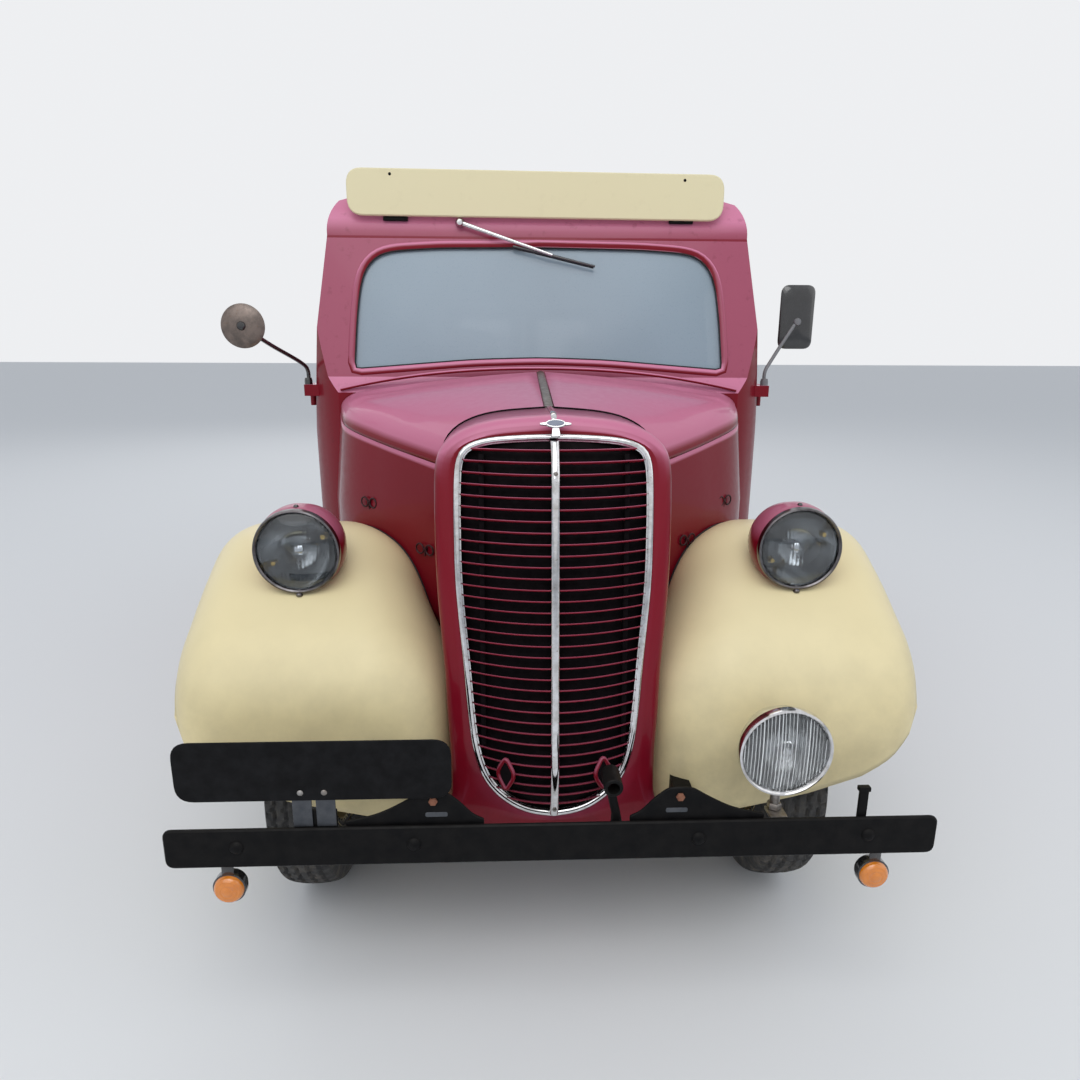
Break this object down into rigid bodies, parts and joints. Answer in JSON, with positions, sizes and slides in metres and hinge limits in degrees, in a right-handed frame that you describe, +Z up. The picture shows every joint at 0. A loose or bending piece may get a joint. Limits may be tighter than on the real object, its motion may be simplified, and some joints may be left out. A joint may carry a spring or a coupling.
{
  "type": "ice cream truck",
  "caption": "Vintage forward-control ice cream van with tall grille, cream wings, roof sign board, serving hatch, opening doors and bonnet, steered front wheels.",
  "frame": {"origin": "ground point under the middle of the vehicle", "axes": "+Z up, the vehicle faces -Y, its own left side is +X"},
  "size_m": [1.72, 3.956, 1.95],
  "materials": {
    "maroon_paint": "gloss",
    "cream_paint": "gloss",
    "window_glass": "clear",
    "floor_wood": "painted boards",
    "chassis_black": "satin",
    "engine_iron": "rough",
    "exhaust_steel": "dull",
    "bright_trim": "polished",
    "plate_black": "satin",
    "amber_lens": "ribbed",
    "red_lens": "ribbed",
    "mirror_black": "gloss",
    "wiper_steel": "satin",
    "wheel_black": "gloss",
    "cab_grey": "satin",
    "seat_leather": "grained",
    "counter_alloy": "satin",
    "tyre_rubber": "matte",
    "wheel_cream": "gloss"
  },
  "bodies": {
    "chassis": {"cab_fittings": "cab_grey", "cab_front": "maroon_paint", "chassis_frame": "chassis_black", "engine": "engine_iron", "exhaust": "exhaust_steel", "floor": "floor_wood", "fog_lamp": "bright_trim", "freezer_counter": "counter_alloy", "front_axle": "chassis_black", "front_bumper": "chassis_black", "front_wing_left": "cream_paint", "front_wing_right": "cream_paint", "fuel_tank": "chassis_black", "grille_bars": "maroon_paint", "grille_surround": "bright_trim", "handle_guide": "chassis_black", "head_lamp_left": "maroon_paint", "head_lamp_right": "maroon_paint", "indicators": "amber_lens", "mirror_left": "mirror_black", "mirror_right": "mirror_black", "nose_shell": "maroon_paint", "number_plate": "plate_black", "rear_axle": "chassis_black", "rear_bumper": "chassis_black", "rear_frame": "maroon_paint", "rear_lamps": "red_lens", "rear_wings": "cream_paint", "roof": "maroon_paint", "seats": "seat_leather", "side_left": "maroon_paint", "side_right": "maroon_paint", "sign_board": "cream_paint", "steering_column": "chassis_black", "windscreen_glass": "window_glass", "wiper": "wiper_steel"},
    "steer_left": {"knuckle_left": "chassis_black"},
    "steer_right": {"knuckle_right": "chassis_black"},
    "wheel_front_left": {"tyre_front_left": "tyre_rubber", "wheel_front_left": "wheel_cream"},
    "wheel_front_right": {"tyre_front_right": "tyre_rubber", "wheel_front_right": "wheel_cream"},
    "wheel_rear_left": {"tyre_rear_left": "tyre_rubber", "wheel_rear_left": "wheel_cream"},
    "wheel_rear_right": {"tyre_rear_right": "tyre_rubber", "wheel_rear_right": "wheel_cream"},
    "steering": {"steering_wheel": "wheel_black"},
    "cab_door_left": {"cab_door_left": "maroon_paint", "cab_door_glass_left": "window_glass"},
    "cab_door_right": {"cab_door_right": "maroon_paint", "cab_door_glass_right": "window_glass"},
    "rear_door_left": {"rear_door_left": "maroon_paint", "rear_door_glass_left": "window_glass"},
    "rear_door_right": {"rear_door_right": "maroon_paint", "rear_door_glass_right": "window_glass"},
    "serving_hatch": {"serving_hatch": "maroon_paint"},
    "bonnet_left": {"bonnet_left": "maroon_paint"},
    "bonnet_right": {"bonnet_right": "maroon_paint"}
  },
  "joints": [
    {"name": "steer_left", "type": "hinge", "parent": "chassis", "child": "steer_left", "pos_m": [0.52, -1.365, 0.356], "axis": [0, 0, 1], "range_deg": [-25, 25]},
    {"name": "steer_right", "type": "hinge", "parent": "chassis", "child": "steer_right", "pos_m": [-0.52, -1.365, 0.356], "axis": [0, 0, 1], "range_deg": [-25.5, 25.5]},
    {"name": "wheel_spin_front_left", "type": "hinge", "parent": "steer_left", "child": "wheel_front_left", "pos_m": [0.6, -1.365, 0.356], "axis": [1, 0, 0], "continuous": true},
    {"name": "wheel_spin_front_right", "type": "hinge", "parent": "steer_right", "child": "wheel_front_right", "pos_m": [-0.6, -1.365, 0.356], "axis": [1, 0, 0], "continuous": true},
    {"name": "wheel_spin_rear_left", "type": "hinge", "parent": "chassis", "child": "wheel_rear_left", "pos_m": [0.65, 0.921, 0.356], "axis": [1, 0, 0], "continuous": true},
    {"name": "wheel_spin_rear_right", "type": "hinge", "parent": "chassis", "child": "wheel_rear_right", "pos_m": [-0.65, 0.921, 0.356], "axis": [1, 0, 0], "continuous": true},
    {"name": "steering_wheel_turn", "type": "hinge", "parent": "chassis", "child": "steering", "pos_m": [-0.259, -0.71, 1.375], "axis": [0, 0.454, 0.891], "range_deg": [-405, 405]},
    {"name": "cab_door_left_swing", "type": "hinge", "parent": "chassis", "child": "cab_door_left", "pos_m": [0.712, -0.821, 1], "axis": [0, 0, -1], "range_deg": [0, 70]},
    {"name": "cab_door_right_swing", "type": "hinge", "parent": "chassis", "child": "cab_door_right", "pos_m": [-0.712, -0.821, 1], "axis": [0, 0, 1], "range_deg": [0, 70]},
    {"name": "rear_door_left_swing", "type": "hinge", "parent": "chassis", "child": "rear_door_left", "pos_m": [0.523, 1.942, 1], "axis": [0, 0, -1], "range_deg": [0, 110]},
    {"name": "rear_door_right_swing", "type": "hinge", "parent": "chassis", "child": "rear_door_right", "pos_m": [-0.523, 1.942, 1], "axis": [0, 0, 1], "range_deg": [0, 110]},
    {"name": "serving_hatch_lift", "type": "hinge", "parent": "chassis", "child": "serving_hatch", "pos_m": [0.65295, 0.585, 1.662], "axis": [0, -1, 0], "range_deg": [0, 85]},
    {"name": "bonnet_left_lift", "type": "hinge", "parent": "chassis", "child": "bonnet_left", "pos_m": [0.0126, -1.515, 1.29], "axis": [0, -0.9929, -0.1188], "range_deg": [0, 60]},
    {"name": "bonnet_right_lift", "type": "hinge", "parent": "chassis", "child": "bonnet_right", "pos_m": [-0.0126, -1.515, 1.29], "axis": [0, 0.9929, 0.1188], "range_deg": [0, 60]}
  ],
  "couplings": [
    {"joint": "steer_right", "follows": "steer_left", "ratio": 1},
    {"joint": "steering_wheel_turn", "follows": "steer_left", "ratio": 16}
  ]
}
